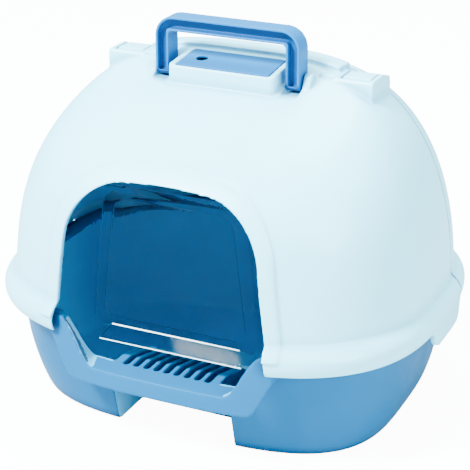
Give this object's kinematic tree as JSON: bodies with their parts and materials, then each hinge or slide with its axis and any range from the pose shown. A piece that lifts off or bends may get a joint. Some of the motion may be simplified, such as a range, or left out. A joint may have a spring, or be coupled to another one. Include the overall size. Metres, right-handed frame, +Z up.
{
  "type": "cat litter box with hood",
  "caption": "Hooded litter box: deep tray with entrance step, domed hood with hinged rear lid, clear swing door, carry handle and filter cover.",
  "frame": {"origin": "on the floor under the middle of the tray, midway between the sides and between the front and the back of the brim outline", "axes": "+X to the right as seen from the front, along the width; +Y from the entrance to the back; +Z up; the entrance faces -Y"},
  "size_m": [0.5, 0.4121, 0.424],
  "materials": {
    "shell_blue": "satin moulded plastic",
    "shell_white": "satin moulded plastic",
    "trim_blue": "glossy moulded plastic",
    "clear_door": "clear moulded plastic",
    "carbon_pad": "felted carbon pad",
    "steel_pin": "plain"
  },
  "bodies": {
    "tray": {"tray": "shell_blue"},
    "hood": {"front_hood": "shell_white", "lid_hinge_pin_left": "steel_pin", "lid_hinge_pin_right": "steel_pin", "filter_grille": "shell_white", "carbon_filter": "carbon_pad"},
    "lid": {"rear_lid": "shell_white"},
    "handle": {"carry_handle": "trim_blue", "handle_pivot_left": "trim_blue", "handle_pivot_right": "trim_blue"},
    "cover": {"filter_cover": "trim_blue"},
    "door": {"swing_door": "clear_door"}
  },
  "joints": [
    {"name": "hood_lift", "type": "slide", "parent": "tray", "child": "hood", "axis": [0, 0, 1], "range_m": [0, 0.12]},
    {"name": "lid_hinge", "type": "hinge", "parent": "hood", "child": "lid", "pos_m": [0, 0.014, 0.36423], "axis": [1, 0, 0], "range_deg": [0, 85]},
    {"name": "handle_fold", "type": "hinge", "parent": "hood", "child": "handle", "pos_m": [0, -0.013, 0.3697], "axis": [1, 0, 0], "range_deg": [0, 85]},
    {"name": "cover_lift", "type": "slide", "parent": "hood", "child": "cover", "axis": [0, -0.1013, 0.9949], "range_m": [0, 0.02]},
    {"name": "door_swing", "type": "hinge", "parent": "hood", "child": "door", "pos_m": [0, -0.15048, 0.273], "axis": [1, 0, 0], "range_deg": [-70, 70]}
  ]
}
